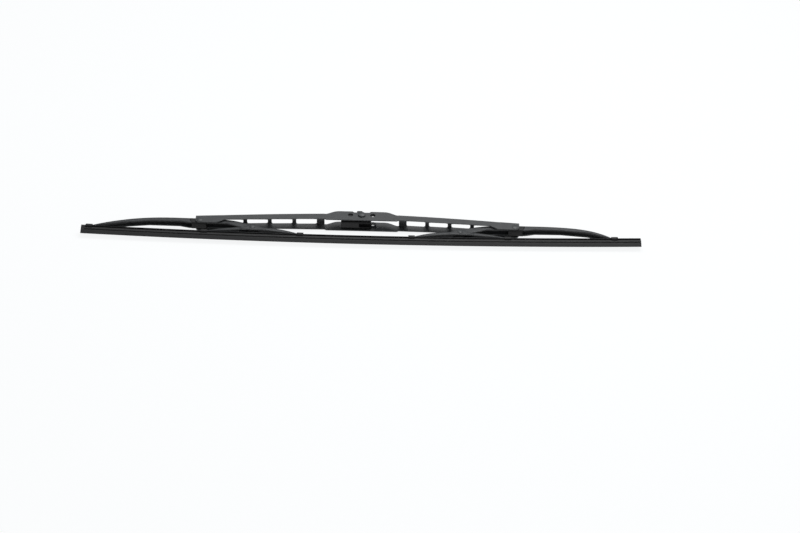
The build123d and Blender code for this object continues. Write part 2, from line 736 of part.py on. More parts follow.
# Adapter: a plastic block on the hub pin, with a keel, a slotted nose, cheeks beside the arm's hook and a tab
with BuildPart() as adapter:
    half_width = hub_inner_half_width - adapter_side_gap
    with BuildSketch(Plane.XY) as adapter_side:
        with BuildLine():
            Polyline(
                (adapter_nose, adapter_bottom),
                (adapter_nose, adapter_core_top),
                (-adapter_tail, adapter_core_top),
                (-adapter_tail, adapter_bottom),
                close=True,
            )
        make_face()
        fillet(adapter_side.vertices().group_by(Axis.X)[-1], radius=adapter_nose_radius)
        Circle(adapter_barrel_radius)
    extrude(amount=half_width, both=True)
    keel_top = adapter_bottom + adapter_keel_depth
    for across in (-half_width, adapter_keel_half_width):
        with BuildSketch(Plane.XY.offset(across)):
            with Locations((0, keel_top - far / 2), (adapter_shoulder + far / 2, 0)):
                Rectangle(far, far)
        extrude(amount=half_width - adapter_keel_half_width, mode=Mode.SUBTRACT)
    keel_edges = adapter.edges().filter_by(Axis.X).group_by(Axis.Y)[0]
    chamfer(keel_edges, length=adapter_edge_chamfer)
    for across in (-half_width, half_width - adapter_cheek):
        with BuildSketch(Plane.XY.offset(across)):
            with BuildLine():
                Polyline(
                    (-adapter_tail, 0),
                    (-adapter_tail, adapter_cheek_top),
                    (-adapter_cheek_front - adapter_cheek_slope, adapter_cheek_top),
                    (-adapter_cheek_front, 0),
                    close=True,
                )
            make_face()
        extrude(amount=adapter_cheek)
    with BuildSketch(Plane.XY) as tab_side:
        with Locations((-tab_front - tab_length / 2, tab_top / 2)):
            Rectangle(tab_length, tab_top)
        fillet(tab_side.vertices().group_by(Axis.Y)[-1], radius=tab_tip_radius)
    extrude(amount=tab_half_width, both=True)
    with BuildSketch(Plane.XY):
        with Locations((nose_slot_start + far / 2, nose_slot_top - far / 2)):
            Rectangle(far, far)
    extrude(amount=nose_slot_half_width, both=True, mode=Mode.SUBTRACT)
    with BuildSketch(Plane.XY):
        with Locations((catch_recess_middle, adapter_core_top)):
            Rectangle(catch_recess_length, 2 * catch_recess_depth)
    extrude(amount=catch_recess_width / 2, both=True, mode=Mode.SUBTRACT)
    with BuildSketch(Plane.XY):
        with Locations((side_pin_hole_reach, 0)):
            Circle(side_pin_hole_radius + side_pin_relief)
    extrude(amount=half_width, both=True, mode=Mode.SUBTRACT)
    with BuildSketch(Plane.XY):
        Circle(hub_pin_radius + running_gap)
    extrude(amount=hub_width, both=True, mode=Mode.SUBTRACT)
adapter.part.label = "adapter"
export_step(adapter.part, "parts/adapter.step")
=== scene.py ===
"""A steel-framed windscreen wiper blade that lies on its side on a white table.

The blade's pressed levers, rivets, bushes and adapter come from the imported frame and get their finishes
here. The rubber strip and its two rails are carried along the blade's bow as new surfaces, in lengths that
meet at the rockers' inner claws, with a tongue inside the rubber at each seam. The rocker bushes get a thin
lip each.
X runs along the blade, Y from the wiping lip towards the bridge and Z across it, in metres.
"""

import logging
from dataclasses import dataclass, field
from enum import Enum
from typing import Any

import bpy
import numpy as np
from mathutils import Matrix


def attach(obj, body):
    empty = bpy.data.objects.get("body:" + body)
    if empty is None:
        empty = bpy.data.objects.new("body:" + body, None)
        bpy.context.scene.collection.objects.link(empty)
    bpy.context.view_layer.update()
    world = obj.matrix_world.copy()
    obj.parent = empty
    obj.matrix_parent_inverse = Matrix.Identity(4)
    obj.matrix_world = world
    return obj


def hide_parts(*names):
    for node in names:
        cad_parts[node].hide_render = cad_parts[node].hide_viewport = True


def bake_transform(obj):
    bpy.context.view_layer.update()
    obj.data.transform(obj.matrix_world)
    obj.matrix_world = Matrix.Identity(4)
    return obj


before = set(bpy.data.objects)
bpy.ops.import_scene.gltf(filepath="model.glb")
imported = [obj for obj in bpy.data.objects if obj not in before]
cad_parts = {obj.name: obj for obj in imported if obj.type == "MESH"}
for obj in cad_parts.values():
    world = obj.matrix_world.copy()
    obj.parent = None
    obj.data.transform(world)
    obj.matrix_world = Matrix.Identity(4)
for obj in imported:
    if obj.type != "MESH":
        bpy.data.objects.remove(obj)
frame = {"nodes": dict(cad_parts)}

LOG = logging.getLogger("wiper_blade")
MM = 0.001
IMAGE_WIDTH = 800

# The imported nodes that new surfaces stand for.
STRIP_NODES = {"rubber", "upper_rail", "lower_rail"}
# The middle of the hub pin, which the lamps and the camera face.
HUB = np.zeros(3)
# Edges that turn by more than this are shaded sharp.
SHARP_ANGLE = np.radians(40.0)
# Points on a rounded corner, and the most that its rounding takes of a short side.
CORNER_STEPS = 5
SIDE_SHARE = 0.45
# Most of a noise's values lie between these.
NOISE_LOW, NOISE_HIGH = 0.3, 0.7
# Octaves of a noise: of an even grain, of streaks and of blotches.
GRAIN_DETAIL, STREAK_DETAIL, BLOTCH_DETAIL = 2.0, 3.0, 4.0
# Rays that feel for an edge at each point.
EDGE_SAMPLES = 6
# Sockets of a mix node that mixes colours.
MIX_SHARE, MIX_DARK, MIX_LIGHT, MIX_RESULT = 0, 6, 7, 2

Colour = tuple[float, float, float]


class Slot(Enum):
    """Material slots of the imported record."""

    BUSH_PLASTIC = "bush_plastic"
    RAIL_STEEL = "rail_steel"
    STRIP_RUBBER = "strip_rubber"


class Side(Enum):
    """The two halves of the blade, valued by the sign of X on that half."""

    LEFT = -1
    RIGHT = 1

    @property
    def label(self) -> str:
        """The half's name as the bodies and pieces spell it."""
        return self.name.lower()


class NodeSheet:
    """The node tree of one material, with short calls to add and join nodes."""

    def __init__(self, name: str) -> None:
        """Makes the material with an output and a principled shader.

        Args:
            name: the material's name.
        """
        self.material = bpy.data.materials.new(name)
        self.material.use_nodes = True
        self.tree = self.material.node_tree
        self.tree.nodes.clear()
        self.output = self.add("ShaderNodeOutputMaterial")
        self.shader = self.add("ShaderNodeBsdfPrincipled")
        self.join(self.shader, "BSDF", self.output, "Surface")

    def add(self, kind: str, inputs: dict[Any, Any] | None = None, **settings: Any) -> bpy.types.Node:
        """Adds a node.

        Args:
            kind: Blender's node type.
            inputs: values for its unjoined sockets, by name or number.
            settings: attributes of the node itself.

        Returns:
            The new node.
        """
        node = self.tree.nodes.new(kind)
        for key, value in settings.items():
            setattr(node, key, value)
        for key, value in (inputs or {}).items():
            node.inputs[key].default_value = value
        return node

    def join(self, source: bpy.types.Node, output: Any, target: bpy.types.Node, socket: Any) -> None:
        """Links an output of one node to an input of another."""
        self.tree.links.new(source.outputs[output], target.inputs[socket])

    def object_point(self) -> bpy.types.Node:
        """A texture coordinate node, whose Object output is the place in the blade's frame."""
        return self.add("ShaderNodeTexCoord")

    def strip_place(self, length: float, width: float) -> bpy.types.Node:
        """The place on the strip, counted in streaks.

        It reads the piece's own attributes: reach, along the strip, and girth, round its section, in metres.

        Args:
            length: a streak's length along the strip.
            width: its width round the section.

        Returns:
            A combine node with reach / length and girth / width.
        """
        place = self.add("ShaderNodeCombineXYZ")
        for axis, (name, size) in enumerate((("reach", length), ("girth", width))):
            source = self.add("ShaderNodeAttribute", attribute_name=name)
            count = self.add("ShaderNodeMath", {1: size}, operation="DIVIDE")
            self.join(source, "Fac", count, 0)
            self.join(count, "Value", place, axis)
        return place

    def noise(self, place: bpy.types.Node, output: str, size: float, detail: float) -> bpy.types.Node:
        """Adds a noise whose blotches are about one size across.

        Args:
            place: the node that gives the place.
            output: the socket of that node.
            size: the blotches' size in the units of the place.
            detail: octaves of finer noise.

        Returns:
            The noise node.
        """
        node = self.add("ShaderNodeTexNoise", {"Scale": 1.0 / size, "Detail": detail})
        self.join(place, output, node, "Vector")
        return node

    def spread(self, source: bpy.types.Node, output: Any, low: float, high: float) -> bpy.types.Node:
        """Maps the values of a noise onto low to high.

        Args:
            source: the node that gives the value.
            output: its socket.
            low: the result at NOISE_LOW.
            high: the result at NOISE_HIGH.

        Returns:
            The map range node.
        """
        limits = {"From Min": NOISE_LOW, "From Max": NOISE_HIGH, "To Min": low, "To Max": high}
        node = self.add("ShaderNodeMapRange", limits)
        self.join(source, output, node, "Value")
        return node

    def tint(self, share: bpy.types.Node, output: Any, dark: Colour, light: Colour) -> bpy.types.Node:
        """Mixes two colours by a share.

        Args:
            share: the node that gives the share, from 0 to 1.
            output: its socket.
            dark: the colour at 0.
            light: the colour at 1.

        Returns:
            The mix node, whose colour is output MIX_RESULT.
        """
        colours = {MIX_DARK: (*dark, 1.0), MIX_LIGHT: (*light, 1.0)}
        node = self.add("ShaderNodeMix", colours, data_type="RGBA")
        self.join(share, output, node, MIX_SHARE)
        return node

    def bump(self, height: bpy.types.Node, output: Any, depth: float) -> bpy.types.Node:
        """Gives the surface a fine relief, and joins it to the shader.

        Args:
            height: the node that gives the relief's height, from 0 to 1.
            output: its socket.
            depth: the relief's depth in metres.

        Returns:
            The bump node.
        """
        node = self.add("ShaderNodeBump", {"Strength": 1.0, "Distance": depth})
        self.join(height, output, node, "Height")
        self.join(node, "Normal", self.shader, "Normal")
        return node

    def relief(self, height: bpy.types.Node, output: Any, depth: float, edge_radius: float) -> bpy.types.Node:
        """Gives the surface a fine relief over softly rounded edges, and joins it to the shader.

        Args:
            height: the node that gives the relief's height, from 0 to 1.
            output: its socket.
            depth: the relief's depth in metres.
            edge_radius: the radius that edges are shaded with, in metres.

        Returns:
            The bevel node, whose normal shows where the edges are.
        """
        edge = self.add("ShaderNodeBevel", {"Radius": edge_radius}, samples=EDGE_SAMPLES)
        self.join(edge, "Normal", self.bump(height, output, depth), "Normal")
        return edge

    def gloss(self, source: bpy.types.Node, output: Any, low: float, high: float) -> None:
        """Lets the shader's roughness follow a noise.

        Args:
            source: the noise.
            output: its socket.
            low: the roughness at NOISE_LOW.
            high: the roughness at NOISE_HIGH.
        """
        self.join(self.spread(source, output, low, high), "Result", self.shader, "Roughness")

    def put(self, socket: str, value: Any) -> None:
        """Sets an unjoined socket of the shader."""
        self.shader.inputs[socket].default_value = value

    def edge_share(self, edge: bpy.types.Node, low: float, high: float) -> bpy.types.Node:
        """The share of wear on edges: how far the rounded normal turns from the flat one.

        Args:
            edge: the bevel node of relief.
            low: the cosine at which the wear is full.
            high: the cosine at which it ends.

        Returns:
            The map range node.
        """
        flat = self.add("ShaderNodeNewGeometry")
        turn = self.add("ShaderNodeVectorMath", operation="DOT_PRODUCT")
        self.join(edge, "Normal", turn, 0)
        self.join(flat, "Normal", turn, 1)
        limits = {"From Min": low, "From Max": high, "To Min": 1.0, "To Max": 0.0}
        node = self.add("ShaderNodeMapRange", limits)
        self.join(turn, "Value", node, "Value")
        return node


@dataclass(frozen=True)
class SatinPaint:
    """Satin paint on pressed steel, with a fine orange peel and edges that are rubbed paler.

    Sizes are in metres and colours are linear. The roughness dips and rises by its spread. The rub is full
    where an edge's rounding turns the surface to the first of its cosines, and ends at the second.
    """

    name: str
    colour: Colour
    thin_colour: Colour
    rubbed_colour: Colour
    roughness: float = 0.45
    roughness_spread: tuple[float, float] = (-0.05, 0.06)
    specular: float = 0.6
    peel_size: float = 0.45 * MM
    peel_depth: float = 0.012 * MM
    blotch_size: float = 9.0 * MM
    edge_radius: float = 0.3 * MM
    rub_cosines: tuple[float, float] = (0.80, 0.985)
    rub_shares: tuple[float, float] = (0.1, 0.9)

    def material(self) -> bpy.types.Material:
        """Builds the paint: blotches of thinner paint, rubbed edges, and a peel that also breaks the gloss.

        Returns:
            The material.
        """
        sheet = NodeSheet(self.name)
        place = sheet.object_point()
        blotch = sheet.noise(place, "Object", self.blotch_size, BLOTCH_DETAIL)
        peel = sheet.noise(place, "Object", self.peel_size, GRAIN_DETAIL)
        thin = sheet.spread(blotch, "Fac", 0.0, 1.0)
        paint = sheet.tint(thin, "Result", self.colour, self.thin_colour)
        edge = sheet.relief(peel, "Fac", self.peel_depth, self.edge_radius)
        wear = sheet.add("ShaderNodeMath", operation="MULTIPLY")
        sheet.join(sheet.edge_share(edge, *self.rub_cosines), "Result", wear, 0)
        sheet.join(sheet.spread(blotch, "Fac", *self.rub_shares), "Result", wear, 1)
        worn = sheet.tint(wear, "Value", self.colour, self.rubbed_colour)
        sheet.join(paint, MIX_RESULT, worn, MIX_DARK)
        sheet.join(worn, MIX_RESULT, sheet.shader, "Base Color")
        dip, rise = self.roughness_spread
        sheet.gloss(peel, "Fac", self.roughness + dip, self.roughness + rise)
        sheet.put("Specular IOR Level", self.specular)
        return sheet.material


@dataclass(frozen=True)
class MouldedPlastic:
    """Moulded plastic with the fine pits of a spark-eroded mould and faint flow streaks."""

    name: str
    colour: Colour
    streak_colour: Colour
    roughness: float = 0.55
    roughness_spread: tuple[float, float] = (-0.06, 0.06)
    specular: float = 0.3
    pit_size: float = 0.16 * MM
    pit_depth: float = 0.02 * MM
    streak_size: float = 5.0 * MM
    edge_radius: float = 0.25 * MM

    def material(self) -> bpy.types.Material:
        """Builds the plastic: streaked colour, pitted relief and uneven gloss.

        Returns:
            The material.
        """
        sheet = NodeSheet(self.name)
        place = sheet.object_point()
        streak = sheet.noise(place, "Object", self.streak_size, STREAK_DETAIL)
        pits = sheet.add("ShaderNodeTexVoronoi", {"Scale": 1.0 / self.pit_size}, feature="SMOOTH_F1")
        sheet.join(place, "Object", pits, "Vector")
        share = sheet.spread(streak, "Fac", 0.0, 1.0)
        colour = sheet.tint(share, "Result", self.colour, self.streak_colour)
        sheet.join(colour, MIX_RESULT, sheet.shader, "Base Color")
        sheet.relief(pits, "Distance", self.pit_depth, self.edge_radius)
        dip, rise = self.roughness_spread
        sheet.gloss(streak, "Fac", self.roughness + dip, self.roughness + rise)
        sheet.put("Specular IOR Level", self.specular)
        return sheet.material


@dataclass(frozen=True)
class StripRubber:
    """Extruded rubber: faint lines along the strip, a greyer bloom and a matt surface."""

    name: str
    colour: Colour
    bloom_colour: Colour
    roughness: float = 0.55
    roughness_spread: tuple[float, float] = (-0.05, 0.1)
    specular: float = 0.32
    line_width: float = 0.25 * MM
    line_length: float = 30.0 * MM
    line_depth: float = 0.012 * MM
    line_shares: tuple[float, float] = (0.4, 1.0)
    bloom_size: float = 14.0 * MM
    bloom_shares: tuple[float, float] = (0.35, 1.0)

    def material(self) -> bpy.types.Material:
        """Builds the rubber: lines from noise stretched along the strip, over blotches of bloom.

        Returns:
            The material.
        """
        sheet = NodeSheet(self.name)
        place = sheet.strip_place(self.line_length, self.line_width)
        lines = sheet.noise(place, "Vector", 1.0, STREAK_DETAIL)
        bloom = sheet.noise(sheet.object_point(), "Object", self.bloom_size, BLOTCH_DETAIL)
        blend = sheet.add("ShaderNodeMath", operation="MULTIPLY")
        sheet.join(sheet.spread(bloom, "Fac", *self.bloom_shares), "Result", blend, 0)
        sheet.join(sheet.spread(lines, "Fac", *self.line_shares), "Result", blend, 1)
        colour = sheet.tint(blend, "Value", self.colour, self.bloom_colour)
        sheet.join(colour, MIX_RESULT, sheet.shader, "Base Color")
        sheet.bump(lines, "Fac", self.line_depth)
        dip, rise = self.roughness_spread
        sheet.gloss(bloom, "Fac", self.roughness + dip, self.roughness + rise)
        sheet.put("Specular IOR Level", self.specular)
        return sheet.material


@dataclass(frozen=True)
class BlackedSteel:
    """Rolled spring steel with a black oxide skin and fine rolling lines along it."""

    name: str
    colour: Colour
    bare_colour: Colour
    roughness: float = 0.34
    roughness_spread: tuple[float, float] = (-0.06, 0.08)
    line_width: float = 0.08 * MM
    line_length: float = 18.0 * MM
    line_depth: float = 0.004 * MM

    def material(self) -> bpy.types.Material:
        """Builds the steel: rolling lines that thin the oxide and break the gloss.

        Returns:
            The material.
        """
        sheet = NodeSheet(self.name)
        place = sheet.strip_place(self.line_length, self.line_width)
        lines = sheet.noise(place, "Vector", 1.0, STREAK_DETAIL)
        share = sheet.spread(lines, "Fac", 0.0, 1.0)
        colour = sheet.tint(share, "Result", self.colour, self.bare_colour)
        sheet.join(colour, MIX_RESULT, sheet.shader, "Base Color")
        sheet.put("Metallic", 1.0)
        sheet.bump(lines, "Fac", self.line_depth)
        dip, rise = self.roughness_spread
        sheet.gloss(lines, "Fac", self.roughness + dip, self.roughness + rise)
        return sheet.material


@dataclass(frozen=True)
class TableTop:
    """A white table that the camera sees as an even white, and that still takes a faint shadow."""

    name: str
    colour: Colour
    seen_colour: Colour
    shadow_share: float = 0.11
    roughness: float = 0.7
    specular: float = 0.2

    def material(self) -> bpy.types.Material:
        """Mixes the lit table with its own white wherever the camera, a gloss or a clear piece looks at it.

        Returns:
            The material.
        """
        sheet = NodeSheet(self.name)
        sheet.put("Base Color", (*self.colour, 1.0))
        sheet.put("Roughness", self.roughness)
        sheet.put("Specular IOR Level", self.specular)
        white = sheet.add("ShaderNodeEmission", {"Color": (*self.seen_colour, 1.0), "Strength": 1.0})
        ray = sheet.add("ShaderNodeLightPath")
        seen = sheet.add("ShaderNodeMath", operation="ADD", use_clamp=True)
        sheet.join(ray, "Is Camera Ray", seen, 0)
        sheet.join(ray, "Is Glossy Ray", seen, 1)
        through = sheet.add("ShaderNodeMath", operation="ADD", use_clamp=True)
        sheet.join(seen, "Value", through, 0)
        sheet.join(ray, "Is Transmission Ray", through, 1)
        share = sheet.add("ShaderNodeMath", {1: 1.0 - self.shadow_share}, operation="MULTIPLY")
        sheet.join(through, "Value", share, 0)
        mix = sheet.add("ShaderNodeMixShader")
        sheet.join(share, "Value", mix, 0)
        sheet.join(sheet.shader, "BSDF", mix, 1)
        sheet.join(white, "Emission", mix, 2)
        sheet.join(mix, "Shader", sheet.output, "Surface")
        return sheet.material


@dataclass(frozen=True)
class Bow:
    """The strip's bow: an arc about a far centre on the bridge's side.

    A reach is a distance along the lip from the hub. A rise is a height above the lip, towards the centre.
    """

    radius: float = 5550.0 * MM
    pin_rise: float = 39.7 * MM

    def carry(self, reach: np.ndarray, rise: np.ndarray, across: np.ndarray) -> np.ndarray:
        """Carries strip coordinates into the blade's frame.

        With the angle a = reach / radius, x = (radius - rise) sin a and
        y = radius - pin_rise - (radius - rise) cos a, while z = across.

        Args:
            reach: distances along the lip.
            rise: heights above the lip.
            across: distances across the blade.

        Returns:
            Points, with x, y and z along the last axis.
        """
        angle = reach / self.radius
        arm = self.radius - rise
        y = self.radius - self.pin_rise - arm * np.cos(angle)
        return np.stack(np.broadcast_arrays(arm * np.sin(angle), y, across), axis=-1)


def rounded(corners: np.ndarray, radius: np.ndarray, steps: int = CORNER_STEPS) -> np.ndarray:
    """Rounds the corners of a closed outline.

    Each corner P becomes the parabola (1-t)^2 A + 2t(1-t) P + t^2 B for t from 0 to 1, where A and B lie on
    the corner's two sides, its radius away from it, or SIDE_SHARE of the side where that is shorter.

    Args:
        corners: the outline's corners, one row each.
        radius: each corner's radius.
        steps: points on each rounded corner.

    Returns:
        The rounded outline's points, one row each.
    """
    ahead = np.roll(corners, -1, axis=0) - corners
    length = np.linalg.norm(ahead, axis=1)
    reach_out = np.minimum(radius, SIDE_SHARE * length)
    reach_back = np.minimum(radius, SIDE_SHARE * np.roll(length, 1))
    direction = ahead / length[:, None]
    leave = corners + direction * reach_out[:, None]
    enter = corners - np.roll(direction, 1, axis=0) * reach_back[:, None]
    t = np.linspace(0.0, 1.0, steps)[None, :, None]
    arcs = (1 - t) ** 2 * enter[:, None] + 2 * t * (1 - t) * corners[:, None] + t**2 * leave[:, None]
    return arcs.reshape(-1, 2)


def mirrored(half: np.ndarray) -> np.ndarray:
    """Closes half a section with its mirror image, and rounds the corners.

    Args:
        half: width, rise and radius of each corner on the upper half, from the lip up.

    Returns:
        Widths and rises of the rounded outline, counter-clockwise as seen from the +X end.
    """
    corners = np.concatenate([half, half[::-1] * np.array([-1.0, 1.0, 1.0])])
    return rounded(corners[:, :2], corners[:, 2])[::-1]


def in_scene(name: str, data: bpy.types.ID) -> bpy.types.Object:
    """Puts a mesh, a lamp or a camera into the scene as a new object."""
    made = bpy.data.objects.new(name, data)
    bpy.context.scene.collection.objects.link(made)
    return made


def carried_mesh(name: str, bow: Bow, outline: np.ndarray, reaches: np.ndarray) -> bpy.types.Object:
    """Carries a closed outline along the bow as one closed surface.

    The grid has a row for each reach and a column for each point of the outline: point (i, j) is the bow's
    point at reach i with the outline's rise j and width j. The columns close on themselves, and one face
    closes each end.

    Args:
        name: the piece's name.
        bow: the bow to follow.
        outline: widths and rises of the outline, one row each, counter-clockwise as seen from the +X end.
        reaches: the rows' reaches, rising.

    Returns:
        The new object, with its reach and girth attributes set.
    """
    rows, columns = len(reaches), len(outline)
    points = bow.carry(reaches[:, None], outline[None, :, 1], outline[None, :, 0]).reshape(-1, 3)
    grid = np.arange(rows * columns).reshape(rows, columns)
    beside = np.roll(grid, -1, axis=1)
    quads = np.stack([grid[:-1], beside[:-1], beside[1:], grid[1:]], axis=-1).reshape(-1, 4)
    faces = [*quads.tolist(), grid[0, ::-1].tolist(), grid[-1].tolist()]
    mesh = bpy.data.meshes.new(name)
    mesh.from_pydata(points.tolist(), [], faces)
    mesh.shade_smooth()
    mesh.set_sharp_from_angle(angle=SHARP_ANGLE)
    side = np.linalg.norm(np.diff(outline, axis=0), axis=1)
    girth = np.concatenate([[0.0], np.cumsum(side)])
    for attribute, values in (("reach", np.repeat(reaches, columns)), ("girth", np.tile(girth, rows))):
        made = mesh.attributes.new(attribute, "FLOAT", "POINT")
        made.data.foreach_set("value", values.astype(np.float32))
    return in_scene(name, mesh)


@dataclass
class LeverFrame:
    """The pressed levers, rivets, bushes and adapter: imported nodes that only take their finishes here."""

    paint: SatinPaint = SatinPaint(
        "satin_frame_paint",
        (0.024, 0.026, 0.028),
        (0.033, 0.035, 0.037),
        (0.036, 0.038, 0.040),
        specular=0.52,
        edge_radius=0.2 * MM,
    )
    lever_paint: SatinPaint = SatinPaint(
        "rolled_lever_paint",
        (0.020, 0.022, 0.024),
        (0.026, 0.028, 0.030),
        (0.032, 0.034, 0.036),
        specular=0.45,
        edge_radius=2.8 * MM,
    )
    rivet: SatinPaint = SatinPaint(
        "satin_rivet_paint",
        (0.026, 0.029, 0.031),
        (0.035, 0.038, 0.040),
        (0.060, 0.064, 0.067),
        roughness=0.48,
        specular=0.45,
        blotch_size=3.0 * MM,
    )
    bush: MouldedPlastic = MouldedPlastic(
        "black_bush_plastic", (0.004, 0.004, 0.0045), (0.007, 0.007, 0.0075)
    )
    adapter: MouldedPlastic = MouldedPlastic(
        "black_adapter_plastic", (0.0055, 0.0055, 0.006), (0.0095, 0.0095, 0.0100)
    )

    def finish_of(self, node: str) -> SatinPaint | MouldedPlastic:
        """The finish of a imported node, by the kind of piece that its name ends with."""
        if node == "adapter":
            return self.adapter
        if node.endswith(("bush", "shoe")):
            return self.bush
        if node.endswith(("yoke", "rocker")):
            return self.lever_paint
        return self.rivet if node.endswith(("rivet", "pin")) else self.paint

    def dress(self, nodes: dict[str, bpy.types.Object], kept: set[str]) -> dict[str, bpy.types.Material]:
        """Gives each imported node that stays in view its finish.

        Args:
            nodes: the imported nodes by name.
            kept: names of the nodes that stay in view.

        Returns:
            The materials made, by the name of their finish.
        """
        made: dict[str, bpy.types.Material] = {}
        for name in sorted(kept):
            finish = self.finish_of(name)
            if finish.name not in made:
                made[finish.name] = finish.material()
            nodes[name].data.materials.clear()
            nodes[name].data.materials.append(made[finish.name])
            LOG.info("%s is finished in %s", name, finish.name)
        return made


@dataclass
class Strip:
    """The wiping rubber and its two rails, in three lengths each.

    The outer lengths lie between a yoke, which holds their far end, and its rocker. The middle length rides
    on the strip's own body. The lengths meet inside the rockers' inner claws, where a tongue inside the
    rubber closes the seam, should the claws draw the lengths apart.
    """

    bow: Bow = field(default_factory=Bow)
    half_length: float = 279.5 * MM
    rail_setback: dict[Side, float] = field(
        default_factory=lambda: {Side.LEFT: 3.7 * MM, Side.RIGHT: 0.5 * MM}
    )
    stop_length: float = 3.6 * MM
    stop_lap: float = 0.3 * MM
    tongue_lap: float = 1.0 * MM
    tongue_scale: float = 0.985
    section_middle: float = 4.9 * MM
    pitch: float = 2.0 * MM
    yoke_claw: dict[Side, float] = field(
        default_factory=lambda: {Side.LEFT: 272.0 * MM, Side.RIGHT: 253.3 * MM}
    )
    rocker_pivot: dict[Side, float] = field(
        default_factory=lambda: {Side.LEFT: 108.5 * MM, Side.RIGHT: 98.8 * MM}
    )
    rocker_half_span: float = 48.0 * MM
    rail_inner: float = 1.25 * MM
    rail_outer: float = 4.35 * MM
    rail_low: float = 7.6 * MM
    rail_high: float = 8.4 * MM
    rail_edge: float = 0.25 * MM
    rubber_finish: StripRubber = StripRubber(
        "black_strip_rubber", (0.0095, 0.0095, 0.0100), (0.0150, 0.0150, 0.0155)
    )
    rail_finish: BlackedSteel = BlackedSteel(
        "blacked_rail_steel", (0.014, 0.014, 0.015), (0.030, 0.031, 0.032)
    )

    def rubber_outline(self) -> np.ndarray:
        """The rubber's section: wiping lip, wedge, hinge neck, body, rail grooves and head.

        Returns:
            Widths and rises of the rounded outline, counter-clockwise as seen from the +X end.
        """
        half = MM * np.array(
            [
                (0.35, 0.0, 0.05),
                (2.4, 3.0, 0.18),
                (2.4, 3.3, 0.12),
                (0.7, 3.5, 0.15),
                (0.7, 4.0, 0.15),
                (3.1, 4.4, 0.25),
                (3.1, 7.5, 0.18),
                (1.2, 7.5, 0.1),
                (1.2, 8.45, 0.1),
                (2.6, 8.45, 0.15),
                (2.6, 9.75, 0.4),
            ]
        )
        return mirrored(half)

    def stop_outline(self) -> np.ndarray:
        """The section of the moulded stop at the left end: the rubber's own, filled out to one block."""
        half = MM * np.array(
            [
                (0.35, 0.0, 0.05),
                (2.4, 3.0, 0.2),
                (3.1, 4.4, 0.4),
                (4.35, 6.6, 0.4),
                (4.35, 8.45, 0.5),
                (2.6, 9.75, 0.4),
            ]
        )
        return mirrored(half)

    def rail_outline(self, across: int) -> np.ndarray:
        """The section of one rail, with its edges rolled round.

        Args:
            across: 1 for the upper rail and -1 for the lower one.

        Returns:
            Widths and rises of the outline.
        """
        inner, outer, low, high = self.rail_inner, self.rail_outer, self.rail_low, self.rail_high
        corners = np.array([(inner, low), (outer, low), (outer, high), (inner, high)])
        outline = rounded(corners, np.full(len(corners), self.rail_edge))[::-1]
        return outline if across > 0 else (outline * np.array([-1.0, 1.0]))[::-1]

    def seam(self, side: Side) -> float:
        """The reach at which a half's outer length meets the middle one."""
        return side.value * (self.rocker_pivot[side] - self.rocker_half_span)

    def tongue_outline(self) -> np.ndarray:
        """The section of the tongue at a seam: the rubber's own, a little smaller about its middle."""
        middle = np.array([0.0, self.section_middle])
        return middle + self.tongue_scale * (self.rubber_outline() - middle)

    def spans(self, setback: dict[Side, float]) -> dict[Side | None, tuple[float, float]]:
        """The lengths' first and last reaches, by half, with None for the middle.

        Args:
            setback: how far the piece ends before the strip does, at each end.

        Returns:
            The reaches, rising.
        """
        seam = {side: self.seam(side) for side in Side}
        end = {side: side.value * (self.half_length - setback[side]) for side in Side}
        return {
            Side.LEFT: (end[Side.LEFT], seam[Side.LEFT]),
            None: (seam[Side.LEFT], seam[Side.RIGHT]),
            Side.RIGHT: (seam[Side.RIGHT], end[Side.RIGHT]),
        }

    def carry_on(self, piece: bpy.types.Object, side: Side | None) -> None:
        """Attaches the middle length to the strip's body, and bakes an outer length's place into its mesh.

        Args:
            piece: the length's object.
            side: its half, or None for the middle.
        """
        if side is None:
            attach(piece, "strip")
            return
        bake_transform(piece)

    def build_length(
        self, name: str, node: str, outline: np.ndarray, reaches: tuple[float, float], side: Side | None
    ) -> bpy.types.Object:
        """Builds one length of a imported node.

        Args:
            name: the length's name.
            node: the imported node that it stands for.
            outline: its section.
            reaches: its first and last reach.
            side: its half, or None for the middle.

        Returns:
            The length's object.
        """
        rows = int(np.ceil((reaches[1] - reaches[0]) / self.pitch)) + 1
        piece = carried_mesh(name, self.bow, outline, np.linspace(*reaches, rows))
        self.carry_on(piece, side)
        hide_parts(node)
        LOG.info("%s has %d faces", name, len(piece.data.polygons))
        return piece

    def build_one(self, node: str, outline: np.ndarray, setback: dict[Side, float]) -> list[bpy.types.Object]:
        """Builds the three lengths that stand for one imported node.

        Args:
            node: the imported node.
            outline: its section.
            setback: how far it ends before the strip does, at each end.

        Returns:
            The three objects.
        """
        built = []
        for side, reaches in self.spans(setback).items():
            name = f"{node}_{side.label if side else 'middle'}_length"
            built.append(self.build_length(name, node, outline, reaches, side))
        return built

    def build(self) -> None:
        """Builds and dresses the rubber with its stop and tongues, and both rails."""
        setback = {Side.LEFT: self.stop_length - self.stop_lap, Side.RIGHT: 0.0}
        rubber = self.build_one("rubber", self.rubber_outline(), setback)
        stop = (-self.half_length, self.stop_length - self.half_length)
        rubber.append(self.build_length("rubber_left_stop", "rubber", self.stop_outline(), stop, Side.LEFT))
        for side in Side:
            name = f"rubber_{side.label}_tongue"
            lap = (self.seam(side) - self.tongue_lap, self.seam(side) + self.tongue_lap)
            rubber.append(self.build_length(name, "rubber", self.tongue_outline(), lap, None))
        self.dress(rubber, self.rubber_finish.material(), Slot.STRIP_RUBBER)
        steel = self.rail_finish.material()
        for node, across in (("upper_rail", 1), ("lower_rail", -1)):
            rails = self.build_one(node, self.rail_outline(across), self.rail_setback)
            self.dress(rails, steel, Slot.RAIL_STEEL)

